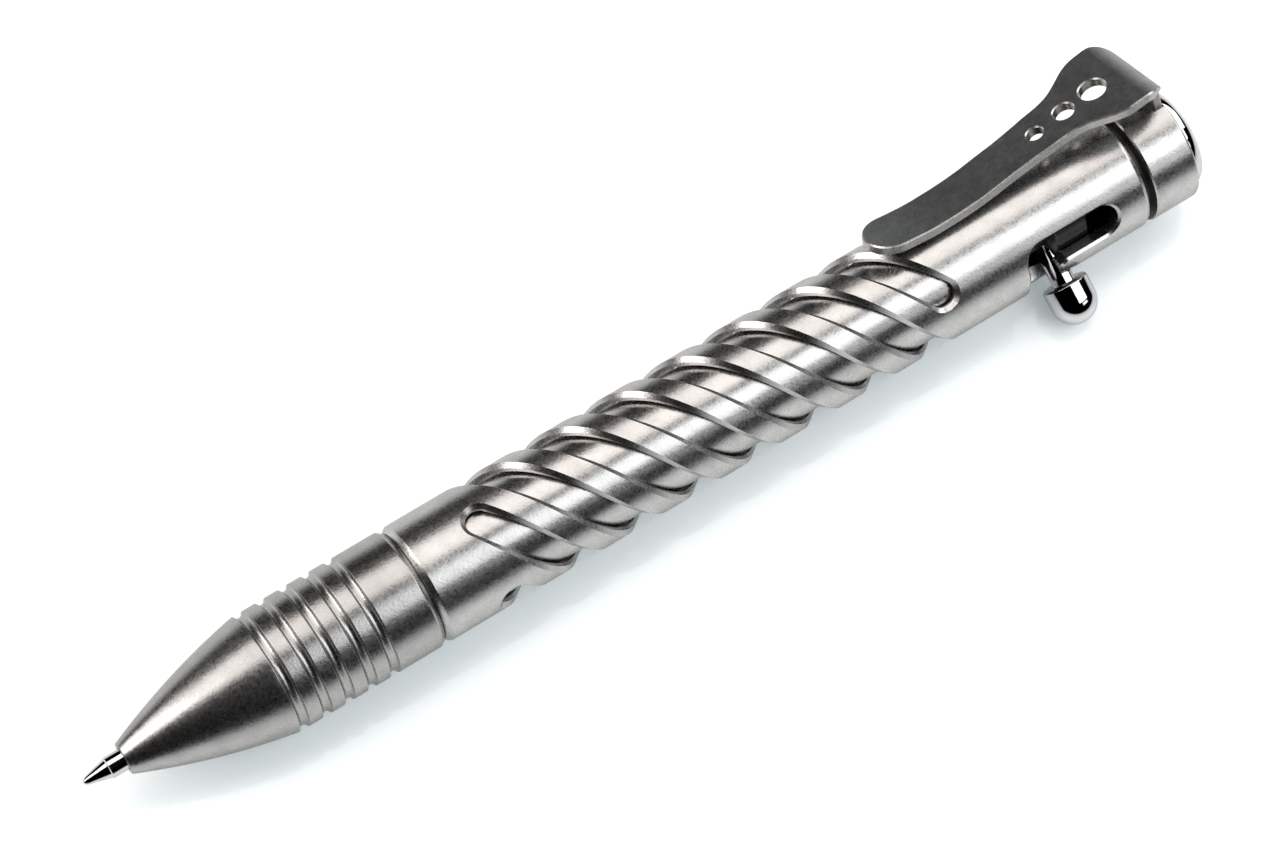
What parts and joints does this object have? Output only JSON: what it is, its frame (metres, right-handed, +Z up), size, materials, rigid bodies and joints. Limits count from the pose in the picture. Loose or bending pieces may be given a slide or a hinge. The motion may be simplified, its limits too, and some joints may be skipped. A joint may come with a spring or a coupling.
{
  "type": "bolt action pen",
  "caption": "Metal bolt action ballpoint pen with helical through slots in its sleeve, a grooved grip and a wide pocket clip, lying on its side with the tip out.",
  "frame": {"origin": "on the surface the pen lies on, under the middle of its bounding box", "axes": "+X along the pen from the writing tip to the domed end, +Z up, away from the surface it lies on"},
  "size_m": [0.1278, 0.0214, 0.0185],
  "materials": {
    "body_metal": "tumbled, fine satin",
    "liner_metal": "fine turned, brighter than the sleeve",
    "clip_metal": "dark grey blasted face with bright edges",
    "polished_metal": "mirror polished",
    "spring_steel": "drawn wire",
    "refill_metal": "satin",
    "plunger_plastic": "black, smooth",
    "refill_plastic": "black",
    "ink": null
  },
  "bodies": {
    "barrel": {"grip_section": "body_metal", "barrel_sleeve": "body_metal", "liner_tube": "liner_metal", "rear_cap": "body_metal", "end_screw": "polished_metal", "pocket_clip": "clip_metal", "return_spring": "spring_steel"},
    "refill": {"writing_tip": "polished_metal", "refill_tube": "refill_metal", "ink_column": "ink", "refill_plug": "refill_plastic"},
    "bolt": {"plunger": "plunger_plastic", "bolt_knob": "polished_metal"}
  },
  "joints": [
    {"name": "bolt_push", "type": "slide", "parent": "barrel", "child": "refill", "axis": [1, 0, 0], "range_m": [-0.00245, 0], "stiffness_N_per_m": 150, "springref_m": 0.012, "deforming": ["return_spring"]},
    {"name": "bolt_turn", "type": "hinge", "parent": "refill", "child": "bolt", "pos_m": [0.045, 0.00013, 0.00634], "axis": [1, 0, 0], "range_deg": [-4, 4]}
  ]
}
